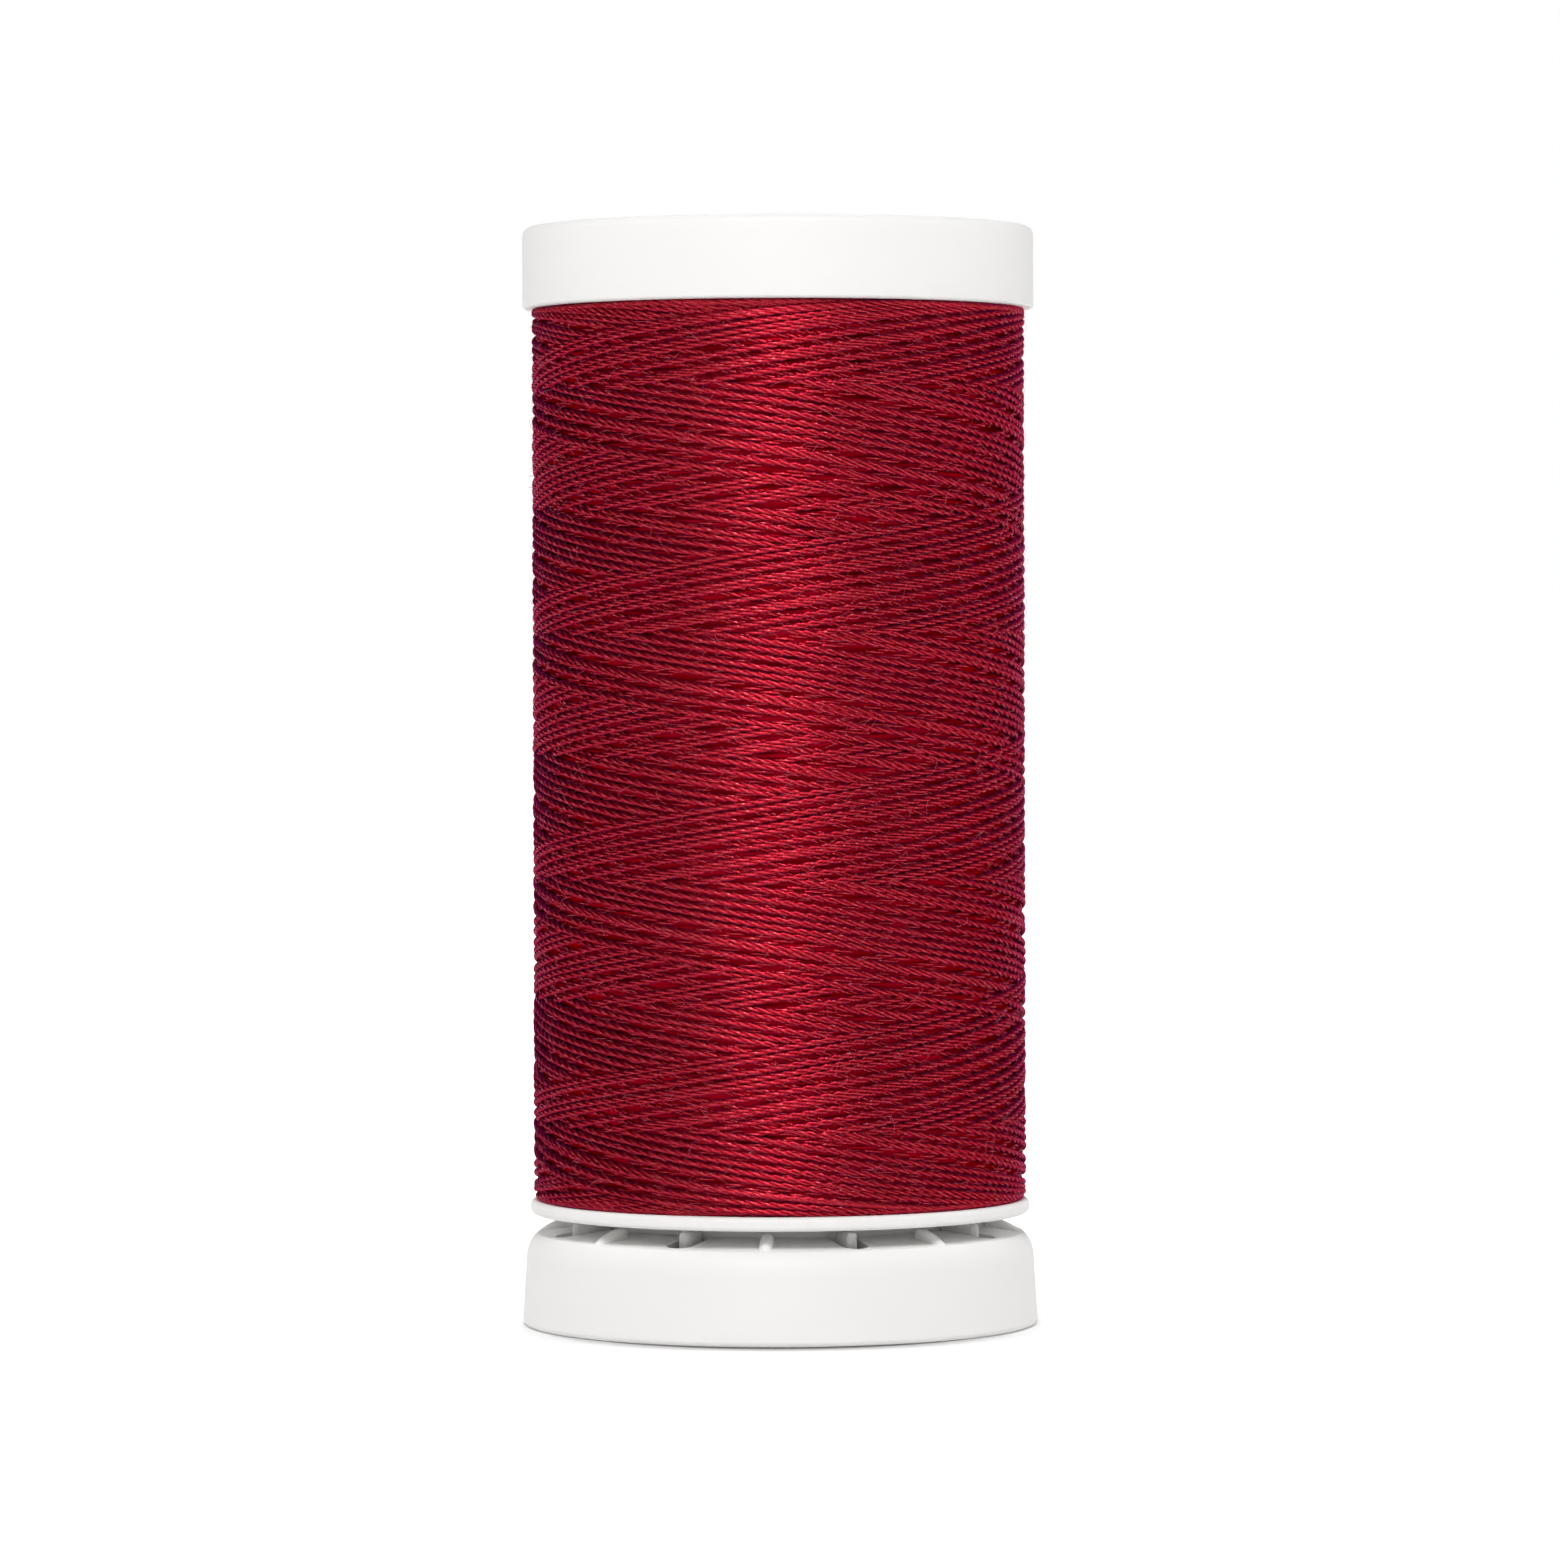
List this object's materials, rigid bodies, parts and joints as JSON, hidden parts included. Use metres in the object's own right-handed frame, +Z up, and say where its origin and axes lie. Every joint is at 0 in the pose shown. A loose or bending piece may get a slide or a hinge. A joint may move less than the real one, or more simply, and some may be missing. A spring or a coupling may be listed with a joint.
{
  "type": "spool of sewing thread",
  "caption": "Upright spool of cross-wound sewing thread between a flat top cap and a thin flange, on a ribbed foot that slides open to free the thread end.",
  "frame": {"origin": "centre of the face that the spool stands on", "axes": "+Z up along the spool's axis, the direction in which the spool body slides to open the thread lock; -Y is the front"},
  "size_m": [0.032, 0.032, 0.0681],
  "materials": {
    "white_plastic": "satin moulded",
    "red_thread": "twisted polyester with a slight sheen"
  },
  "bodies": {
    "foot": {"lock_foot": "white_plastic"},
    "spool": {"spool_core": "white_plastic", "top_cap": "white_plastic", "thread_package": "red_thread", "thread_outer_turns": "red_thread"}
  },
  "joints": [
    {"name": "lock_slide", "type": "slide", "parent": "foot", "child": "spool", "axis": [0, 0, 1], "range_m": [0, 0.0018]}
  ]
}
